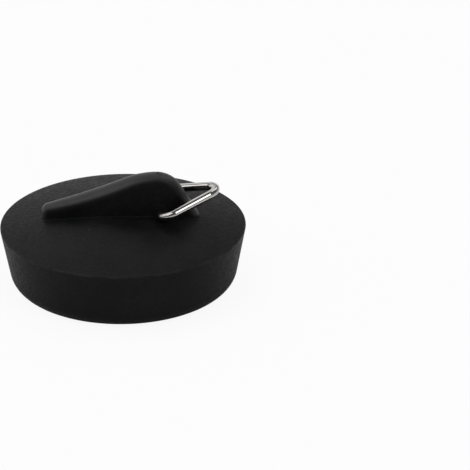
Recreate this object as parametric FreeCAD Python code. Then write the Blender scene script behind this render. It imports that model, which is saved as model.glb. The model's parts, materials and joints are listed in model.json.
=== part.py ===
# Rubber drain stopper: one tapered rubber moulding with a domed top, a hollow underside and a
# wedge-shaped finger grip, and one bent wire ring that swings in a hole through the grip.
# Millimetres. +Z is up, the stopper stands on z = 0, and the grip runs along X with its tall end at +X.

import FreeCAD, Part
import math
import os
from FreeCAD import Vector

# Stopper: the tapered disc that seals the drain
top_diameter = 50.0        # over the upper edge
rim_height = 12.4          # floor to the upper edge
taper_angle = 10.5         # of the side wall, degrees
crown_height = 2.9         # rise of the domed top above its edge
top_edge_radius = 0.2
bottom_edge_radius = 3.4

# Recess: the hollow underside
rim_width = 4.1            # foot of the side wall to the recess's mouth, before their edges are rounded
recess_draft_angle = 1.2   # degrees
recess_depth = 9.9
mouth_edge_radius = 0.5
floor_edge_radius = 0.6

# Grip: a fin that ramps up to a broad crest and drops steeply at the ring
grip_low_margin = 8.6      # low end to the upper edge
crest_margin = 18.1        # crest to the upper edge, on the steep side
crest_height = 11.2        # above the upper edge
grip_width = 6.0           # across the middle, at its root
grip_end_width = 3.75      # across the low end, at its root: the sides bow in towards both ends
grip_draft_angle = 2.5     # of each side wall, degrees
grip_low_height = 4.3      # ramp's low end, above the upper edge
ramp_radius = 150.0        # the ramp's slight hollow, seen from the side
crest_radius = 17.5        # between the ramp and the crest, seen from the side
shoulder_radius = 5.6      # between the crest and the back, seen from the side
back_angle = 59.0          # degrees
ridge_spread = 0.2         # what the ridge's round, seen from an end, has over half the grip's width
grip_edge_radius = 1.5
edge_limit_share = 0.9     # of half the low end's width, the most that its edges are rounded
grip_root_radius = 0.2
gate_mark_diameter = 0.7   # the round mark that the moulding's feed left on the crest
gate_mark_depth = 0.15
gate_mark_lean = 2.5       # of the mark's axis, from upright towards the back, degrees

# Ring: steel wire bent to a triangle, its ends meeting in the middle of the hole
wire_diameter = 1.7
hole_clearance = 0.05      # all round the wire
hole_behind_crest = 0.8    # hole axis to the grip's crest, along the grip
hole_above_dome = 1.45     # hole axis above the domed top
ring_side_play = 1.5       # straight wire beside the grip, each side
ring_tip_gap = 1.7         # foot of the grip's back to the inside of the ring's tip, ring level
corner_bend_radius = 2.0   # to the wire's middle
tip_bend_radius = 2.6      # to the wire's middle
wire_end_gap = 0.4         # between the two cut ends
ring_rest_angle = 17.5     # lift of the ring above level, degrees

matching_gap = 0.0005      # lengths closer than this count as equal


# What follows from the sizes above

top_radius = top_diameter / 2
dome_radius = (top_radius ** 2 + crown_height ** 2) / (2 * crown_height)
crown_level = rim_height + crown_height
taper = math.tan(math.radians(taper_angle))
foot_radius = top_radius - rim_height * taper
mouth_radius = foot_radius - rim_width
floor_radius = mouth_radius - recess_depth * math.tan(math.radians(recess_draft_angle))
grip_low_end = top_radius - grip_low_margin
crest_x = top_radius - crest_margin
crest = Vector(crest_x, 0, rim_height + crest_height)
crest_centre = crest - Vector(0, 0, crest_radius)
shoulder_centre = crest - Vector(0, 0, shoulder_radius)
low_end_level = rim_height + grip_low_height
to_low_end = Vector(-grip_low_end, 0, low_end_level) - crest_centre
low_end_reach = to_low_end.Length
centres_apart = crest_radius + ramp_radius
# the ramp's arc touches the crest's and ends at the low end: its slope where they touch
rise = math.atan2(-to_low_end.x, to_low_end.z) - math.acos(
    (centres_apart ** 2 + low_end_reach ** 2 - ramp_radius ** 2) / (2 * centres_apart * low_end_reach))
ramp_centre = crest_centre + Vector(-math.sin(rise), 0, math.cos(rise)) * centres_apart
fall = math.radians(back_angle)
back_up = Vector(math.sin(fall), 0, math.cos(fall))
back_top = shoulder_centre + back_up * shoulder_radius
grip_foot = back_top.x + (back_top.z - rim_height) / math.tan(fall)
grip_bow = (grip_width - grip_end_width) / 2
grip_side_radius = (grip_low_end ** 2 + grip_bow ** 2) / (2 * grip_bow)
grip_draft = math.tan(math.radians(grip_draft_angle))
low_end_half_width = grip_end_width / 2 - grip_low_height * grip_draft
edge_rounding = min(grip_edge_radius, low_end_half_width * edge_limit_share)
ridge_radius = grip_width / 2 + ridge_spread
wire_radius = wire_diameter / 2
hole_radius = wire_radius + hole_clearance
hole_x = crest_x + hole_behind_crest


def dome_level(distance):
    """Height of the domed top at a distance from the stopper's axis."""
    return crown_level - dome_radius + math.sqrt(dome_radius ** 2 - distance ** 2)


hole_z = dome_level(hole_x) + hole_above_dome


def polyline(points):
    """Edges joining points in order, left open at the end."""
    return [Part.LineSegment(a, b).toShape() for a, b in zip(points, points[1:])]


def corner_round(arc_centre, arc_radius, point, way, outward, rounding):
    """Centre of a round that touches a large arc from inside and the line through point along way behind it.

    Also gives the outward direction in which the round touches the arc."""
    line = point - outward * rounding - arc_centre
    along = line.dot(way)
    reach = math.sqrt(along ** 2 - line.dot(line) + (arc_radius - rounding) ** 2)
    centre = arc_centre + line - way * (along + reach)
    return centre, (centre - arc_centre).normalize()


def circles_at(solid, radius, level):
    """The solid's circular edges of this radius about the stopper's axis at this height."""
    def matches(edge):
        curve = edge.Curve
        return (isinstance(curve, Part.Circle)
                and abs(curve.Radius - radius) < matching_gap
                and abs(curve.Center.z - level) < matching_gap)
    return [edge for edge in solid.Edges if not edge.Degenerated and matches(edge)]


def stopper_disc():
    """The tapered disc with its domed top and hollow underside, turned about Z."""
    crown = Vector(0, 0, crown_level)
    halfway = Vector(top_radius / 2, 0, dome_level(top_radius / 2))
    upper_edge = Vector(top_radius, 0, rim_height)
    foot = Vector(foot_radius, 0, 0)
    down = (foot - upper_edge).normalize()
    outward = Vector(-down.z, 0, down.x)
    centre, dome_up = corner_round(
        crown - Vector(0, 0, dome_radius), dome_radius, upper_edge, down, outward, top_edge_radius)
    dome_end, corner, side_start = [
        centre + direction.normalize() * top_edge_radius
        for direction in (dome_up, dome_up + outward, outward)]
    outline = [
        side_start,
        foot,
        Vector(mouth_radius, 0, 0),
        Vector(floor_radius, 0, recess_depth),
        Vector(0, 0, recess_depth),
        crown,
    ]
    edges = [
        Part.Arc(crown, halfway, dome_end).toShape(),
        Part.Arc(dome_end, corner, side_start).toShape(),
    ] + polyline(outline)
    disc = Part.Face(Part.Wire(edges)).revolve(Vector(0, 0, 0), Vector(0, 0, 1), 360)
    for radius, level, rounding in (
        (foot_radius, 0, bottom_edge_radius),
        (mouth_radius, 0, mouth_edge_radius),
        (floor_radius, recess_depth, floor_edge_radius),
    ):
        disc = disc.makeFillet(rounding, circles_at(disc, radius, level))
    return disc


def ridge_axis():
    """The middle line of the grip's round ridge, seen from the side: ramp, crest, shoulder and back."""
    beyond_low_end = math.asin((-grip_low_end - grip_width - ramp_centre.x) / ramp_radius)
    back_way = Vector(math.cos(fall), 0, -math.sin(fall))
    foot = Vector(grip_foot, 0, rim_height)

    def arc(centre, radius, start, end):
        """Part of a circle between two slopes, as angles from level."""
        return Part.Arc(*[centre + Vector(-math.sin(slope), 0, math.cos(slope)) * radius
                          for slope in (start, (start + end) / 2, end)]).toShape()

    back_start = shoulder_centre + back_up * (shoulder_radius - ridge_radius)
    return [
        arc(ramp_centre, -ramp_radius - ridge_radius, beyond_low_end, rise),
        arc(crest_centre, crest_radius - ridge_radius, rise, 0),
        arc(shoulder_centre, shoulder_radius - ridge_radius, 0, -fall),
        Part.LineSegment(back_start, foot + back_way * grip_foot - back_up * ridge_radius).toShape(),
    ]


def grip_walls():
    """The space between the grip's bowed, drafted sides, from its flat low end on."""
    height = grip_foot * math.tan(math.radians(back_angle))
    upper_radius = grip_side_radius - height * grip_draft
    offset = grip_side_radius - grip_width / 2
    near, far = [
        Part.makeCone(grip_side_radius, upper_radius, height, Vector(0, y, rim_height), Vector(0, 0, 1))
        for y in (offset, -offset)]
    span = 2 * grip_side_radius
    beyond_end = Part.makeBox(span, span, height, Vector(-grip_low_end, -grip_side_radius, rim_height))
    return near.common(far).common(beyond_end)


def grip_blank():
    """The grip with its round ridge and rounded edges, standing on the upper edge's level inside the dome."""
    axis = ridge_axis()
    low, foot = axis[0].firstVertex().Point, axis[-1].lastVertex().Point
    way = axis[0].tangentAt(axis[0].FirstParameter)
    section = Part.Wire(Part.Circle(low, way, ridge_radius).toShape())
    ridge = Part.Wire(axis).makePipeShell([section.rotate(low, way, 180)], True, False)
    below = Part.Face(Part.Wire(axis + [Part.LineSegment(foot, low).toShape()]))
    below.translate(Vector(0, -grip_width, 0))
    web = below.extrude(Vector(0, 2 * grip_width, 0))
    blank = ridge.fuse(web).common(grip_walls())
    walls = [face for face in blank.Faces
             if isinstance(face.Surface, Part.Cone) or face.BoundBox.XMax < matching_gap - grip_low_end]
    edges = {edge.hashCode(): edge for face in walls for edge in face.Edges
             if edge.BoundBox.ZMax > rim_height + edge_rounding}
    return blank.makeFillet(edge_rounding, list(edges.values()))


def on_dome(point):
    """True for a point on the domed top, clear of its edge."""
    level = dome_level(math.hypot(point.x, point.y))
    return abs(point.z - level) < matching_gap and point.z > rim_height + top_edge_radius


def gate_mark():
    """The space of the small round mark on top of the grip, square to its surface."""
    lean = math.radians(gate_mark_lean)
    outward = Vector(math.sin(lean), 0, math.cos(lean))
    bottom = shoulder_centre + outward * (shoulder_radius - gate_mark_depth)
    return Part.makeCylinder(gate_mark_diameter / 2, shoulder_radius, bottom, outward)


def rubber_stopper():
    """The whole rubber moulding: disc, grip, the hole for the ring and the gate mark."""
    body = stopper_disc().fuse(grip_blank()).removeSplitter()
    root = [edge for edge in body.Edges
            if not edge.Degenerated and all(on_dome(point) for point in edge.discretize(5))]
    body = body.makeFillet(grip_root_radius, root)
    hole_start = Vector(hole_x, -grip_width, hole_z)
    hole = Part.makeCylinder(hole_radius, 2 * grip_width, hole_start, Vector(0, 1, 0))
    return body.cut(hole).cut(gate_mark()).Solids[0]


def ring_path():
    """The wire's middle line, from one cut end in the hole round the triangle to the other."""
    lift = math.radians(ring_rest_angle)
    out = Vector(math.cos(lift), 0, math.sin(lift))
    across = Vector(0, 1, 0)
    pivot = Vector(hole_x, 0, hole_z)
    reach = grip_foot - hole_x + ring_tip_gap + wire_radius
    bar_end = grip_width / 2 + ring_side_play
    tip_centre = reach - tip_bend_radius
    # the arm touches both bends: its lean from the ring's own axis
    span = math.hypot(tip_centre - corner_bend_radius, bar_end)
    lean = math.atan2(bar_end, tip_centre - corner_bend_radius) - math.asin(
        (tip_bend_radius - corner_bend_radius) / span)

    def place(along, sideways):
        return pivot + out * along + across * sideways

    def on_bend(centre_along, centre_side, radius, angle):
        return place(centre_along + radius * math.sin(angle), centre_side + radius * math.cos(angle))

    def half(sign):
        """Edges of one half, from the cut end to the tip, on the side that sign gives."""
        corner = [on_bend(corner_bend_radius, bar_end, corner_bend_radius, a)
                  for a in (-math.pi / 2, (lean - math.pi / 2) / 2, lean)]
        tip = [on_bend(tip_centre, 0, tip_bend_radius, a)
               for a in (lean, (lean + math.pi / 2) / 2, math.pi / 2)]
        start = place(0, wire_end_gap / 2)
        edges = [
            Part.LineSegment(start, corner[0]).toShape(),
            Part.Arc(*corner).toShape(),
            Part.LineSegment(corner[-1], tip[0]).toShape(),
            Part.Arc(*tip).toShape(),
        ]
        if sign < 0:
            edges = [edge.mirror(Vector(0, 0, 0), across) for edge in edges]
        return edges

    return Part.Wire(Part.__sortEdges__(half(1) + half(-1))), place(0, wire_end_gap / 2)


def pull_ring():
    """The bent wire."""
    path, start = ring_path()
    section = Part.Wire(Part.Circle(start, Vector(0, 1, 0), wire_radius).toShape())
    return path.makePipeShell([section], True, False)


def main():
    os.makedirs("parts", exist_ok=True)
    for name, solid in (("rubber_stopper", rubber_stopper()), ("pull_ring", pull_ring())):
        solid.exportStep(f"parts/{name}.step")
        box = solid.BoundBox
        print(name, solid.ShapeType, "valid", solid.isValid(), "solids", len(solid.Solids),
              "volume", round(solid.Volume, 2),
              "box", [round(v, 3) for v in (box.XMin, box.YMin, box.ZMin, box.XMax, box.YMax, box.ZMax)])
    print("hole axis", round(hole_x, 4), round(hole_z, 4), "foot radius", round(foot_radius, 3),
          "floor radius", round(floor_radius, 3), "crown level", crown_level)


main()
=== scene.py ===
# %% [markdown]
# # A rubber drain stopper on a white table
#
# The stopper has two pieces: one black rubber moulding, and one steel wire bent to a triangle that swings in a
# hole through the moulding's finger grip. Both shapes come from the CAD model, so this lesson is about looks:
# a camera, a white table in a soft light, and one layered material for each piece.

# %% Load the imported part
import json
import math

import bpy
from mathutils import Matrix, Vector

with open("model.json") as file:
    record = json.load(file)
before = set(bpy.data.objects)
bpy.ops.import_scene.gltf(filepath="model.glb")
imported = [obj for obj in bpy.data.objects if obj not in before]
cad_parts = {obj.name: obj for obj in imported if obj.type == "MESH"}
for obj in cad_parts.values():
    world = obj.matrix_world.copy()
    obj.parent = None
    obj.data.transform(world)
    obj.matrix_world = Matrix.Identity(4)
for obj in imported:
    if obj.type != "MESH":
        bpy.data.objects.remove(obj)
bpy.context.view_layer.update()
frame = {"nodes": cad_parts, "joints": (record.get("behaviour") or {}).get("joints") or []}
scene = bpy.context.scene
scene.view_settings.view_transform = "Standard"
MM = 0.001

# %% [markdown]
# ## Camera
#
# A product picture like this one is taken through a long lens, from about 25 degrees above the table. The camera
# could be set by eye, but then the upper edge and the foot of the stopper become other ellipses. So its focal
# length and its place were fitted to those two circles, which are known in the CAD model.

# %% Camera at the photograph's viewpoint
PHOTO_SIDE = 470            # pixels
FOCAL_PIXELS = 2721.1
SENSOR_WIDTH = 36.0         # millimetres
CAMERA_PLACE = (10.494 * MM, -502.09 * MM, 246.60 * MM)
CAMERA_TILT = 64.735        # degrees from looking straight down
CAMERA_TURN = -1.4          # degrees about the upright axis
CLOSEST_VIEW = 0.01         # metres

camera_data = bpy.data.cameras.new("camera")
camera_data.sensor_width = SENSOR_WIDTH
camera_data.lens = FOCAL_PIXELS / PHOTO_SIDE * SENSOR_WIDTH
camera_data.clip_start = CLOSEST_VIEW
camera = bpy.data.objects.new("camera", camera_data)
camera.location = CAMERA_PLACE
camera.rotation_euler = (math.radians(CAMERA_TILT), 0, math.radians(CAMERA_TURN))
scene.collection.objects.link(camera)
scene.camera = camera
print("lens mm", round(camera_data.lens, 2))


# %% [markdown]
# ## Small tools for node trees
#
# Materials, node groups and the room's light are trees of small boxes. They can be wired by hand in the node
# editor, and in a script each box takes a few lines. These helpers shorten them: one adds a node, one does a
# step of arithmetic, one makes a soft step from one value to another, and one blends two colours.

# %% Node helpers
def feed(tree, socket, value):
    """Links a node's output to a socket, or writes a plain value there."""
    if isinstance(value, bpy.types.NodeSocket):
        tree.links.new(value, socket)
    else:
        socket.default_value = value


def add(tree, kind, settings=None, **inputs):
    """A new node with its settings, and its inputs by their names, with _ for a blank."""
    node = tree.nodes.new(kind)
    for name, value in (settings or {}).items():
        setattr(node, name, value)
    for name, value in inputs.items():
        feed(tree, node.inputs[name.replace("_", " ")], value)
    return node


def calc(tree, operation, *values):
    """One step of arithmetic."""
    node = add(tree, "ShaderNodeMath", {"operation": operation})
    for socket, value in zip(node.inputs, values):
        feed(tree, socket, value)
    return node.outputs[0]


def ease(tree, value, start, end, first, last):
    """The first number up to start, the last one from end on, and a soft step between."""
    step = add(tree, "ShaderNodeMapRange", {"interpolation_type": "SMOOTHSTEP"}, Value=value, From_Min=start,
               From_Max=end, To_Min=first, To_Max=last)
    return step.outputs[0]


def blend(tree, share, first, last):
    """A colour that goes from the first to the last as share goes from 0 to 1."""
    mix = add(tree, "ShaderNodeMix", {"data_type": "RGBA"})
    for place, value in ((0, share), (6, first), (7, last)):
        feed(tree, mix.inputs[place], value)
    return mix.outputs[2]


# %% [markdown]
# ## White table
#
# The stopper stands on white paper that has no visible end. More light would make any paper white, but it would
# also wash out the rubber. So the paper itself is an ordinary pale sheet, and where the camera looks at it
# directly, most of it is an even white. Some lit paper is left in the mix, and that keeps the contact shadow.
# Rubber and metal mirror mostly the lit paper, with the stopper's own shade on it.

# %% Table
TABLE_SIDE = 40.0           # metres
TABLE_DROP = 0.02 * MM      # keeps the table just clear of the rubber rim
PAPER_GREY = (0.8, 0.8, 0.8, 1)
SEEN_WHITE = 0.92           # share of even white in what the camera sees of the table
MIRRORED_WHITE = 0.12       # the same in rubber and metal

bpy.ops.mesh.primitive_plane_add(size=TABLE_SIDE, location=(0, 0, -TABLE_DROP))
table = bpy.context.active_object
table.name = "table"
white_paper = bpy.data.materials.new("white_paper")
white_paper.use_nodes = True
tree = white_paper.node_tree
paper = tree.nodes["Principled BSDF"]
paper.inputs["Base Color"].default_value = PAPER_GREY
paper.inputs["Roughness"].default_value = 0.9
paper.inputs["Specular IOR Level"].default_value = 0.0
even_white = add(tree, "ShaderNodeEmission", Color=(1, 1, 1, 1), Strength=1.0)
ray = add(tree, "ShaderNodeLightPath").outputs
mirrored = calc(tree, "MAXIMUM", ray["Is Glossy Ray"], ray["Is Transmission Ray"])
white_share = calc(tree, "MULTIPLY_ADD", ray["Is Camera Ray"], SEEN_WHITE,
                   calc(tree, "MULTIPLY", mirrored, MIRRORED_WHITE))
sheet = add(tree, "ShaderNodeMixShader")
for place, value in enumerate((white_share, paper.outputs[0], even_white.outputs[0])):
    tree.links.new(value, sheet.inputs[place])
tree.links.new(sheet.outputs[0], tree.nodes["Material Output"].inputs["Surface"])
table.data.materials.append(white_paper)
print("table", TABLE_SIDE, "m across")

# %% [markdown]
# ## White room
#
# Black rubber has hardly any colour of its own. What shows is the room, mirrored faintly in it: the top of the
# dome is grey towards the back because a low white wall stands there, and the near side of the grip is almost
# black because the room behind the camera is dim. A wall could be modelled, but a world that fades from a bright
# side to a dim side, and from the wall's foot upwards, does the same with two soft steps.

# %% Room light
BRIGHT_SIDE = (-0.5, 0.866, 0.0)    # direction of the white wall, behind the stopper and to its left
DIM_UP_TO, BRIGHT_FROM = -0.3, 1.0  # along that direction, for a ray of length 1
DIM_LIGHT, BRIGHT_LIGHT = 0.1, 0.36
WALL_GAIN = 3.0                     # how much brighter the low wall is than the room above it
WALL_UP_TO, ROOM_FROM = 0.12, 0.4   # height, for a ray of length 1

world = bpy.data.worlds.new("paper_room")
scene.world = world
world.use_nodes = True
tree = world.node_tree
way = add(tree, "ShaderNodeTexCoord").outputs["Generated"]
towards = add(tree, "ShaderNodeVectorMath", {"operation": "DOT_PRODUCT"})
feed(tree, towards.inputs[0], way)
feed(tree, towards.inputs[1], BRIGHT_SIDE)
wall = ease(tree, towards.outputs["Value"], DIM_UP_TO, BRIGHT_FROM, DIM_LIGHT, BRIGHT_LIGHT)
height = add(tree, "ShaderNodeSeparateXYZ", Vector=way).outputs["Z"]
low_wall = ease(tree, height, WALL_UP_TO, ROOM_FROM, WALL_GAIN, 1.0)
background = tree.nodes["Background"]
background.inputs["Color"].default_value = (1, 1, 1, 1)
feed(tree, background.inputs["Strength"], calc(tree, "MULTIPLY", wall, low_wall))
print("room light from", DIM_LIGHT, "to", round(BRIGHT_LIGHT * WALL_GAIN, 2))


# %% [markdown]
# ## Soft boxes
#
# A bright wire shows each lamp as a line along it, so the lamps are placed by the lines on the ring. The near arm
# has a pale line from above on the left, a bright narrow one from the front right and a dark one between them,
# and the far arm has one from the left. The same boxes draw the soft light along the ridge of the grip. Each box
# is given by the brightness of its face, where 1 is white, because that is what the wire shows. The last lamp is
# a fill that the wire doesn't mirror: it lifts the table and the rubber to a plain level.

# %% Soft boxes around the table
AIM_HEIGHT = 10 * MM        # middle of the stopper above the table


def soft_box(name, place, width, height, brightness):
    """An area light that looks at the middle of the stopper. Place and sizes are in metres."""
    light = bpy.data.lights.new(name, "AREA")
    light.shape = "RECTANGLE"
    light.size = width
    light.size_y = height
    light.energy = brightness * math.pi * width * height
    lamp = bpy.data.objects.new(name, light)
    lamp.location = place
    look = Vector((0, 0, AIM_HEIGHT)) - Vector(place)
    lamp.rotation_euler = look.to_track_quat("-Z", "Y").to_euler()
    lamp.visible_camera = False
    scene.collection.objects.link(lamp)
    return lamp


soft_box("left_overhead_box", (-0.69, -0.28, 1.102), width=1.4, height=1.1, brightness=1.1)
soft_box("left_box", (-1.157, -0.163, 0.57), width=0.5, height=0.45, brightness=0.9)
soft_box("back_left_box", (-0.27, 0.943, 0.863), width=0.7, height=0.75, brightness=0.75)
soft_box("back_right_box", (0.553, 0.553, 1.048), width=0.6, height=1.0, brightness=1.25)
soft_box("front_right_strip", (0.659, -0.707, 0.88), width=0.3, height=0.8, brightness=3.0)
fill_box = soft_box("fill_box", (0.0, -0.1, 1.6), width=1.6, height=1.6, brightness=1.3)
fill_box.visible_glossy = False


# %% [markdown]
# ## Effects that rubber and wire share
#
# Both finishes are made of the same four effects at other sizes: cloudy patches, a fine grain, bands that are
# rubbed by use, and a little dust. Each effect is a node group, built once. A group takes the place on the
# surface, and its sizes in metres, and puts out a mask or a height, so a material can use it for colour, gloss or
# bump as it needs.

# %% Tools for node groups
def new_group(name, inputs, outputs):
    """A node group with named sockets, then what it is given, then the sockets for its results."""
    group = bpy.data.node_groups.new(name, "ShaderNodeTree")
    for label in inputs:
        kind = "NodeSocketVector" if label == "Vector" else "NodeSocketFloat"
        group.interface.new_socket(label, in_out="INPUT", socket_type=kind)
    for label in outputs:
        group.interface.new_socket(label, in_out="OUTPUT", socket_type="NodeSocketFloat")
    return group, group.nodes.new("NodeGroupInput").outputs, group.nodes.new("NodeGroupOutput").inputs


def place_group(tree, group, **inputs):
    """Places a group in a material with that material's own values, and gives its result."""
    return add(tree, "ShaderNodeGroup", {"node_tree": group}, **inputs).outputs[0]


# %% [markdown]
# ### Cloudy patches
#
# Rubber comes out of its mould with paler and darker areas, where sulphur and wax have come to the surface, and
# plated wire has areas that are a little duller. Noise gives patches of any size. Softness is the share of the
# noise's range over which a patch fades: a small one gives patches with clear borders.

# %% Group: cloudy patches
MIDDLE_TONE = 0.5           # of the noise

cloudy_patches, given, result = new_group("cloudy_patches", ("Vector", "Patch Size", "Softness"), ("Mask",))
clouds = add(cloudy_patches, "ShaderNodeTexNoise", Vector=given["Vector"], Detail=3.0, Roughness=0.55,
             Scale=calc(cloudy_patches, "DIVIDE", 1.0, given["Patch Size"])).outputs["Fac"]
half = calc(cloudy_patches, "MULTIPLY", given["Softness"], 0.5)
fade_from = calc(cloudy_patches, "SUBTRACT", MIDDLE_TONE, half)
fade_to = calc(cloudy_patches, "ADD", MIDDLE_TONE, half)
feed(cloudy_patches, result["Mask"], ease(cloudy_patches, clouds, fade_from, fade_to, 0.0, 1.0))
print(cloudy_patches.name, "has", len(cloudy_patches.nodes), "nodes")

# %% [markdown]
# ### Fine grain
#
# The mould for such a stopper is blasted with grit, and the rubber copies its tiny dents. Cells with soft borders
# look more like such dents than plain noise does, and some noise over them keeps them from looking like a net. On
# the wire the same grain, much shallower, is the slight unevenness of the plating.

# %% Group: fine grain
DENT_SHARE, NOISE_SHARE = 0.6, 0.4
NOISE_PER_DENT = 0.6

fine_grain, given, result = new_group("fine_grain", ("Vector", "Grain Size"), ("Height",))
grains = calc(fine_grain, "DIVIDE", 1.0, given["Grain Size"])
dents = add(fine_grain, "ShaderNodeTexVoronoi", {"feature": "SMOOTH_F1"}, Vector=given["Vector"], Scale=grains,
            Smoothness=0.7).outputs["Distance"]
uneven = add(fine_grain, "ShaderNodeTexNoise", Vector=given["Vector"], Detail=2.0,
             Scale=calc(fine_grain, "MULTIPLY", grains, NOISE_PER_DENT)).outputs["Fac"]
uneven_height = calc(fine_grain, "MULTIPLY", uneven, NOISE_SHARE)
feed(fine_grain, result["Height"], calc(fine_grain, "MULTIPLY_ADD", dents, DENT_SHARE, uneven_height))
print(fine_grain.name, "has", len(fine_grain.nodes), "nodes")

# %% [markdown]
# ### Rubbed bands
#
# Edges that touch a drain or a sink, and the wire where it turns in its hole, are rubbed. Worn edges are often
# found from the bend of the surface, but that can't tell an edge that is touched from one that isn't. Here the
# material measures the distance to the line that is touched, and the group turns it into a band with gaps.

# %% Group: rubbed band
GAP_UP_TO, WHOLE_FROM = 0.35, 0.65  # tones of the noise
LEFT_IN_GAPS = 0.3

rubbed_band, given, result = new_group("rubbed_band", ("Vector", "Distance", "Reach", "Gap Size"), ("Mask",))
near = ease(rubbed_band, given["Distance"], 0.0, given["Reach"], 1.0, 0.0)
gaps = add(rubbed_band, "ShaderNodeTexNoise", Vector=given["Vector"], Detail=3.0,
           Scale=calc(rubbed_band, "DIVIDE", 1.0, given["Gap Size"])).outputs["Fac"]
whole = ease(rubbed_band, gaps, GAP_UP_TO, WHOLE_FROM, LEFT_IN_GAPS, 1.0)
feed(rubbed_band, result["Mask"], calc(rubbed_band, "MULTIPLY", near, whole))
print(rubbed_band.name, "has", len(rubbed_band.nodes), "nodes")

# %% [markdown]
# ### Settled dust
#
# A little dust lies on what faces up. Each cell of a Voronoi pattern holds one speck, and the cell's own random
# colour gives the speck its size, so some cells have a clear speck and most have next to nothing.

# %% Group: settled dust
SPECK_FROM = 0.4                                # cells with a lower random number hold the smallest speck
SMALLEST_SPECK, LARGEST_SPECK = 0.02, 0.16      # radius, for cells of size 1
SOLID_SHARE = 0.4                               # of the radius, and the rest is a soft border
SLIDES_OFF, STAYS_ON = 0.6, 0.97                # how far a spot faces up

settled_dust, given, result = new_group("settled_dust", ("Vector", "Facing Up", "Spacing"), ("Mask",))
cells = add(settled_dust, "ShaderNodeTexVoronoi", Vector=given["Vector"],
            Scale=calc(settled_dust, "DIVIDE", 1.0, given["Spacing"])).outputs
chance = add(settled_dust, "ShaderNodeSeparateColor", Color=cells["Color"]).outputs["Red"]
speck_size = ease(settled_dust, chance, SPECK_FROM, 1.0, SMALLEST_SPECK, LARGEST_SPECK)
solid_size = calc(settled_dust, "MULTIPLY", speck_size, SOLID_SHARE)
speck = ease(settled_dust, cells["Distance"], solid_size, speck_size, 1.0, 0.0)
lying = ease(settled_dust, given["Facing Up"], SLIDES_OFF, STAYS_ON, 0.0, 1.0)
feed(settled_dust, result["Mask"], calc(settled_dust, "MULTIPLY", speck, lying))
print(settled_dust.name, "has", len(settled_dust.nodes), "nodes")


# %% [markdown]
# ## Black rubber
#
# The moulding is one piece, but its mould had two finishes. The dome, the side and the flanks of the grip are
# matte from a grit-blasted mould. The ridge of the grip, which a finger strokes, is smooth and has a soft shine.
# The finishes could be two materials on two sets of faces, but then the border would be hard. Here they are one
# material, and the place on the surface decides: how high a spot lies above the dome, and whether it faces
# sideways.

# %% Where a spot lies on the rubber
DOME_RADIUS = 109.2 * MM            # of the sphere that the top is part of
CROWN_HEIGHT = 15.3 * MM            # of that sphere's top above the table
UPPER_EDGE_RADIUS, UPPER_EDGE_HEIGHT = 25.0 * MM, 12.4 * MM
RECESS_RADIUS, RECESS_HEIGHT = 18.4 * MM, 9.9 * MM
GRIP_FROM, GRIP_FULLY = 0.1 * MM, 0.6 * MM      # height above the dome
FLANK_FROM, FLANK_FULLY = 0.5, 1.0              # how far a spot faces sideways


def length_of(tree, first, second):
    """Straight distance across two steps at a right angle."""
    return calc(tree, "SQRT", calc(tree, "MULTIPLY_ADD", first, first, calc(tree, "MULTIPLY", second, second)))


black_rubber = bpy.data.materials.new("black_rubber")
black_rubber.use_nodes = True
rubber = black_rubber.node_tree
surface = add(rubber, "ShaderNodeTexCoord").outputs
spot = surface["Object"]
x, y, z = add(rubber, "ShaderNodeSeparateXYZ", Vector=spot).outputs
facing = add(rubber, "ShaderNodeSeparateXYZ", Vector=surface["Normal"]).outputs
from_axis = length_of(rubber, x, y)
bulge = calc(rubber, "MULTIPLY", calc(rubber, "MULTIPLY", from_axis, from_axis), 0.5 / DOME_RADIUS)
above_dome = calc(rubber, "SUBTRACT", calc(rubber, "ADD", z, bulge), CROWN_HEIGHT)
on_grip = ease(rubber, above_dome, GRIP_FROM, GRIP_FULLY, 0.0, 1.0)
not_flank = ease(rubber, calc(rubber, "ABSOLUTE", facing["Y"]), FLANK_FROM, FLANK_FULLY, 1.0, 0.0)
smooth_ridge = calc(rubber, "MULTIPLY", on_grip, not_flank)
print("dome rises", round((CROWN_HEIGHT - UPPER_EDGE_HEIGHT) / MM, 2), "mm above the upper edge")

# %% [markdown]
# The drain rubs the sharp upper edge, the sink rubs the foot, and the wire rubs the mouths of its hole. The
# distance to the nearest of these lines feeds the rubbed band, whose paler colour along the upper edge is also a
# painted highlight line. The hole's axis is the ring's hinge, so its place is read from the frame.

# %% Rubbed, dusty and cloudy places on the rubber
hinge_x, _, hinge_z = frame["joints"][0]["pos_m"]
HOLE_RADIUS = 0.9 * MM

to_upper_edge = length_of(rubber, calc(rubber, "SUBTRACT", from_axis, UPPER_EDGE_RADIUS),
                          calc(rubber, "SUBTRACT", z, UPPER_EDGE_HEIGHT))
to_hinge = length_of(rubber, calc(rubber, "SUBTRACT", x, hinge_x), calc(rubber, "SUBTRACT", z, hinge_z))
to_hole = calc(rubber, "ABSOLUTE", calc(rubber, "SUBTRACT", to_hinge, HOLE_RADIUS))
to_touched = calc(rubber, "MINIMUM", to_upper_edge, calc(rubber, "MINIMUM", to_hole, z))
rubbed = place_group(rubber, rubbed_band, Vector=spot, Distance=to_touched, Reach=0.45 * MM, Gap_Size=2.5 * MM)
bloom = place_group(rubber, cloudy_patches, Vector=spot, Patch_Size=8 * MM, Softness=0.45)
mottle = place_group(rubber, cloudy_patches, Vector=spot, Patch_Size=0.8 * MM, Softness=0.5)
dust = place_group(rubber, settled_dust, Vector=spot, Facing_Up=facing["Z"], Spacing=1.3 * MM)
print("hinge at mm", round(hinge_x / MM, 2), round(hinge_z / MM, 2))
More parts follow.
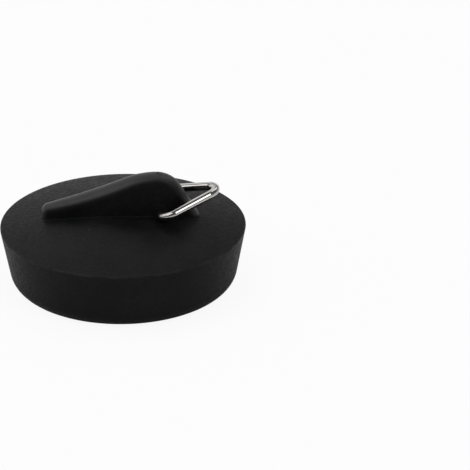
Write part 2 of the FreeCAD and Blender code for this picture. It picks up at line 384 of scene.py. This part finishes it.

# %% [markdown]
# Colour first. The rubber is filled with soot, so it is a deep black. Bloom makes the matte parts a trace lighter
# in places, finely mottled where it sits between the grains. Rubbed edges are a little greyer: worn at the foot
# and the mouths of the hole, and along the upper edge also a painted highlight line. All of these are very dark:
# the greys that the eye sees on the stopper are mostly reflections.

# %% Colour of the rubber
RIDGE_BLACK = (0.0042, 0.0042, 0.0042, 1)
MATTE_BLACK = (0.0021, 0.0025, 0.0024, 1)
BLOOM_BLACK = (0.0084, 0.0087, 0.0081, 1)
# paler colour of rubbed edges: wear, and along the upper edge a painted highlight line
RUBBED_AND_HIGHLIGHT_BLACK = (0.014, 0.0138, 0.013, 1)
DUST_GREY = (0.06, 0.058, 0.054, 1)
MOTTLE_SHARE = 0.7          # of the bloom, and the rest is even
RUBBED_SHARE, DUST_SHARE = 0.6, 0.5

cloudy = calc(rubber, "MULTIPLY", bloom, calc(rubber, "MULTIPLY_ADD", mottle, MOTTLE_SHARE, 1.0 - MOTTLE_SHARE))
matte_colour = blend(rubber, cloudy, MATTE_BLACK, BLOOM_BLACK)
colour = blend(rubber, smooth_ridge, matte_colour, RIDGE_BLACK)
# rubbed edges turn paler: wear at the foot and the hole, and a painted highlight line along the upper edge
colour = blend(rubber, calc(rubber, "MULTIPLY", rubbed, RUBBED_SHARE), colour, RUBBED_AND_HIGHLIGHT_BLACK)
colour = blend(rubber, calc(rubber, "MULTIPLY", dust, DUST_SHARE), colour, DUST_GREY)
rubber_shader = rubber.nodes["Principled BSDF"]
feed(rubber, rubber_shader.inputs["Base Color"], colour)
print("rubber colours from", MATTE_BLACK[0], "to", DUST_GREY[0])

# %% [markdown]
# Then the gloss. A matte surface is rough and mirrors weakly, so the base layer has a low specular level. The
# ridge gets its shine from the coat layer, whose weight changes over the surface. An ordinary coat would flare
# along the outline of the ridge, so this one is denser and has less weight: it is as bright where it faces the
# eye, and calmer at a glancing angle. Rubbed edges are polished a little too, and that, with the painted
# highlight in their paler colour, draws the thin light line along the upper edge.

# %% Gloss of the rubber
MATTE_ROUGHNESS, RIDGE_ROUGHNESS, RUBBED_ROUGHNESS = 0.47, 0.36, 0.34
RIDGE_COAT, MATTE_COAT, RUBBED_COAT = 0.38, 0.022, 0.08
COAT_ROUGHNESS, COAT_DENSITY = 0.5, 2.1
MOTTLE_SPREAD, BLOOM_DULLING, DUST_DULLING = 0.16, 0.06, 0.3
BLOOM_ON_COAT = 0.06        # how much coat the bloom takes off

roughness = calc(rubber, "MULTIPLY_ADD", mottle, MOTTLE_SPREAD, MATTE_ROUGHNESS - MOTTLE_SPREAD / 2)
roughness = calc(rubber, "MULTIPLY_ADD", bloom, BLOOM_DULLING, roughness)
roughness = calc(rubber, "MULTIPLY_ADD", smooth_ridge, RIDGE_ROUGHNESS - MATTE_ROUGHNESS, roughness)
roughness = calc(rubber, "MULTIPLY_ADD", rubbed, RUBBED_ROUGHNESS - MATTE_ROUGHNESS, roughness)
feed(rubber, rubber_shader.inputs["Roughness"], calc(rubber, "MULTIPLY_ADD", dust, DUST_DULLING, roughness))
ridge_coat = calc(rubber, "MULTIPLY_ADD", bloom, -BLOOM_ON_COAT, RIDGE_COAT)
other_coat = calc(rubber, "MULTIPLY_ADD", rubbed, RUBBED_COAT, MATTE_COAT)
coat = calc(rubber, "MULTIPLY_ADD", smooth_ridge, ridge_coat, other_coat)
feed(rubber, rubber_shader.inputs["Coat Weight"], coat)
rubber_shader.inputs["Coat Roughness"].default_value = COAT_ROUGHNESS
rubber_shader.inputs["Coat IOR"].default_value = COAT_DENSITY
rubber_shader.inputs["Specular IOR Level"].default_value = 0.08
print("coat from", MATTE_COAT, "to", RIDGE_COAT)

# %% [markdown]
# Last the relief. The grain is deep on the matte parts and faint on the ridge, and it lies on a slight unevenness
# that follows the mottle. Under the stopper, the floor of the recess keeps the fine circles of the cutter that
# turned its mould. All of it is far too fine for the mesh, so it is a height for a Bump node, which tilts the
# light without moving the surface.

# %% Relief of the rubber
GRAIN_SIZE, GRAIN_DEPTH = 0.3 * MM, 0.03 * MM
UNEVEN_SHARE = 0.7
RIDGE_SMOOTHING = 0.85      # share of the grain that the ridge lacks
CIRCLE_STEP, CIRCLE_SHARE = 0.55 * MM, 0.35
RECESS_BORDER = 0.4 * MM    # over which the circles fade out
FLOOR_DEPTH = 0.1 * MM      # how far from the recess floor they are whole

grain = place_group(rubber, fine_grain, Vector=spot, Grain_Size=GRAIN_SIZE)
grain = calc(rubber, "MULTIPLY_ADD", mottle, UNEVEN_SHARE, grain)
grain = calc(rubber, "MULTIPLY", grain, calc(rubber, "MULTIPLY_ADD", smooth_ridge, -RIDGE_SMOOTHING, 1.0))
within_wall = ease(rubber, from_axis, RECESS_RADIUS - RECESS_BORDER, RECESS_RADIUS, 1.0, 0.0)
off_floor = calc(rubber, "ABSOLUTE", calc(rubber, "SUBTRACT", z, RECESS_HEIGHT))
in_recess = calc(rubber, "MULTIPLY", within_wall, ease(rubber, off_floor, FLOOR_DEPTH, RECESS_BORDER, 1.0, 0.0))
circles = calc(rubber, "SINE", calc(rubber, "MULTIPLY", from_axis, 2 * math.pi / CIRCLE_STEP))
circles = calc(rubber, "MULTIPLY", calc(rubber, "MULTIPLY", circles, CIRCLE_SHARE), in_recess)
height = calc(rubber, "ADD", grain, circles)
relief = add(rubber, "ShaderNodeBump", Strength=1.0, Distance=GRAIN_DEPTH, Height=height)
feed(rubber, rubber_shader.inputs["Normal"], relief.outputs["Normal"])
print("rubber has", len(rubber.nodes), "nodes")

# %% [markdown]
# ## Bright wire
#
# The ring is steel wire with a bright nickel plating, which is a little warmer and darker than chrome. A metal's
# base colour is the colour of its reflections. One even grey would do from afar, but close up the plating is
# duller in cloudy patches, and grey from rubber where it turns in the hole. The groups that serve the rubber make
# both, with sizes of their own.

# %% Colour and gloss of the wire
NICKEL = (0.59, 0.578, 0.558, 1)
DULL_NICKEL = (0.5, 0.482, 0.452, 1)
RUBBER_GREY = (0.2, 0.19, 0.175, 1)
WIRE_DUST = (0.3, 0.29, 0.27, 1)
POLISH, DULLNESS = 0.06, 0.07
DULL_SHARE, RUBBED_SHARE, DUST_SHARE = 0.6, 0.5, 0.3
RUBBED_DULLING, DUST_DULLING = 0.2, 0.25

bright_wire = bpy.data.materials.new("bright_wire")
bright_wire.use_nodes = True
wire = bright_wire.node_tree
surface = add(wire, "ShaderNodeTexCoord").outputs
spot = surface["Object"]
x, _, z = add(wire, "ShaderNodeSeparateXYZ", Vector=spot).outputs
facing_z = add(wire, "ShaderNodeSeparateXYZ", Vector=surface["Normal"]).outputs["Z"]
to_hinge = length_of(wire, calc(wire, "SUBTRACT", x, hinge_x), calc(wire, "SUBTRACT", z, hinge_z))
rubbed = place_group(wire, rubbed_band, Vector=spot, Distance=to_hinge, Reach=2.2 * MM, Gap_Size=0.8 * MM)
dull = place_group(wire, cloudy_patches, Vector=spot, Patch_Size=2.5 * MM, Softness=0.4)
dust = place_group(wire, settled_dust, Vector=spot, Facing_Up=facing_z, Spacing=1.6 * MM)
colour = blend(wire, calc(wire, "MULTIPLY", dull, DULL_SHARE), NICKEL, DULL_NICKEL)
colour = blend(wire, calc(wire, "MULTIPLY", rubbed, RUBBED_SHARE), colour, RUBBER_GREY)
colour = blend(wire, calc(wire, "MULTIPLY", dust, DUST_SHARE), colour, WIRE_DUST)
wire_shader = wire.nodes["Principled BSDF"]
feed(wire, wire_shader.inputs["Base Color"], colour)
roughness = calc(wire, "MULTIPLY_ADD", dull, DULLNESS, POLISH)
roughness = calc(wire, "MULTIPLY_ADD", rubbed, RUBBED_DULLING, roughness)
feed(wire, wire_shader.inputs["Roughness"], calc(wire, "MULTIPLY_ADD", dust, DUST_DULLING, roughness))
wire_shader.inputs["Metallic"].default_value = 1.0
print("wire roughness from", POLISH, "to", round(POLISH + DULLNESS, 2))

# %% [markdown]
# A perfect mirror would look like glass. On drawn and plated wire the lines of light waver a little, because the
# wire isn't quite even. Moving the surface would need a very dense mesh for that, so the fine grain tilts the
# light instead, over wider cells than on the rubber and a few thousandths of a millimetre deep.

# %% Relief of the wire
PLATING_GRAIN, PLATING_DEPTH = 0.7 * MM, 0.004 * MM

plating = place_group(wire, fine_grain, Vector=spot, Grain_Size=PLATING_GRAIN)
relief = add(wire, "ShaderNodeBump", Strength=1.0, Distance=PLATING_DEPTH, Height=plating)
feed(wire, wire_shader.inputs["Normal"], relief.outputs["Normal"])
print("wire has", len(wire.nodes), "nodes")

# %% [markdown]
# ## Dress the pieces
#
# Each CAD piece brings one material slot, and the finished materials take the place of the plain ones there. The
# meshes stay as they are.

# %% Materials onto the pieces
for node, material in (("rubber_stopper", black_rubber), ("pull_ring", bright_wire)):
    for slot in frame["nodes"][node].material_slots:
        slot.material = material
    print(node, "wears", material.name)
